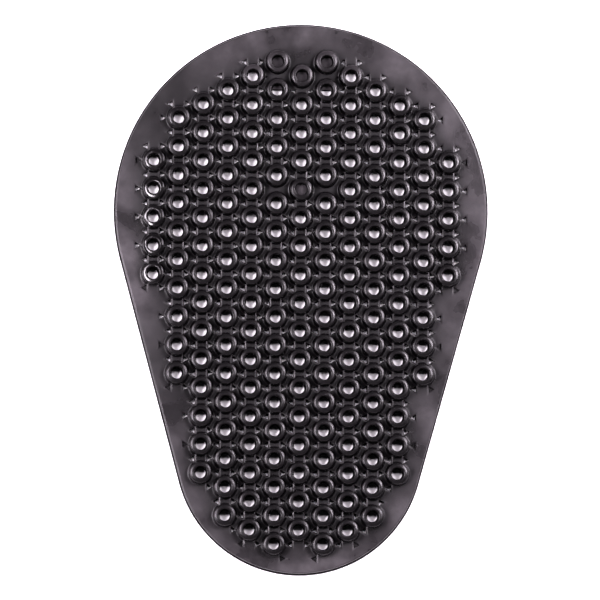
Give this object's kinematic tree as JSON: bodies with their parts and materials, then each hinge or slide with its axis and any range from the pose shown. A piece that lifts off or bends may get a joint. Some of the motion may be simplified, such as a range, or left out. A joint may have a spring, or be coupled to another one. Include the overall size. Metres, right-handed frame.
{
  "type": "hip protector",
  "caption": "Flat egg-shaped rubber pad with a hexagonal field of short open tubes, worn over the hip to soften a fall and let air through.",
  "frame": {"origin": "middle of the pad's box, on the plane of its flat back", "axes": "+Z out of the front, the way the tubes point; +Y along the pad towards its wide upper end; +X to the right seen from the front"},
  "size_m": [0.1214, 0.1788, 0.0105],
  "materials": {
    "black_rubber": "satin black moulded elastomer, glossy on the tube lips, with dull cloudy patches on the rim"
  },
  "bodies": {
    "root": {"pad": "black_rubber"}
  },
  "joints": []
}
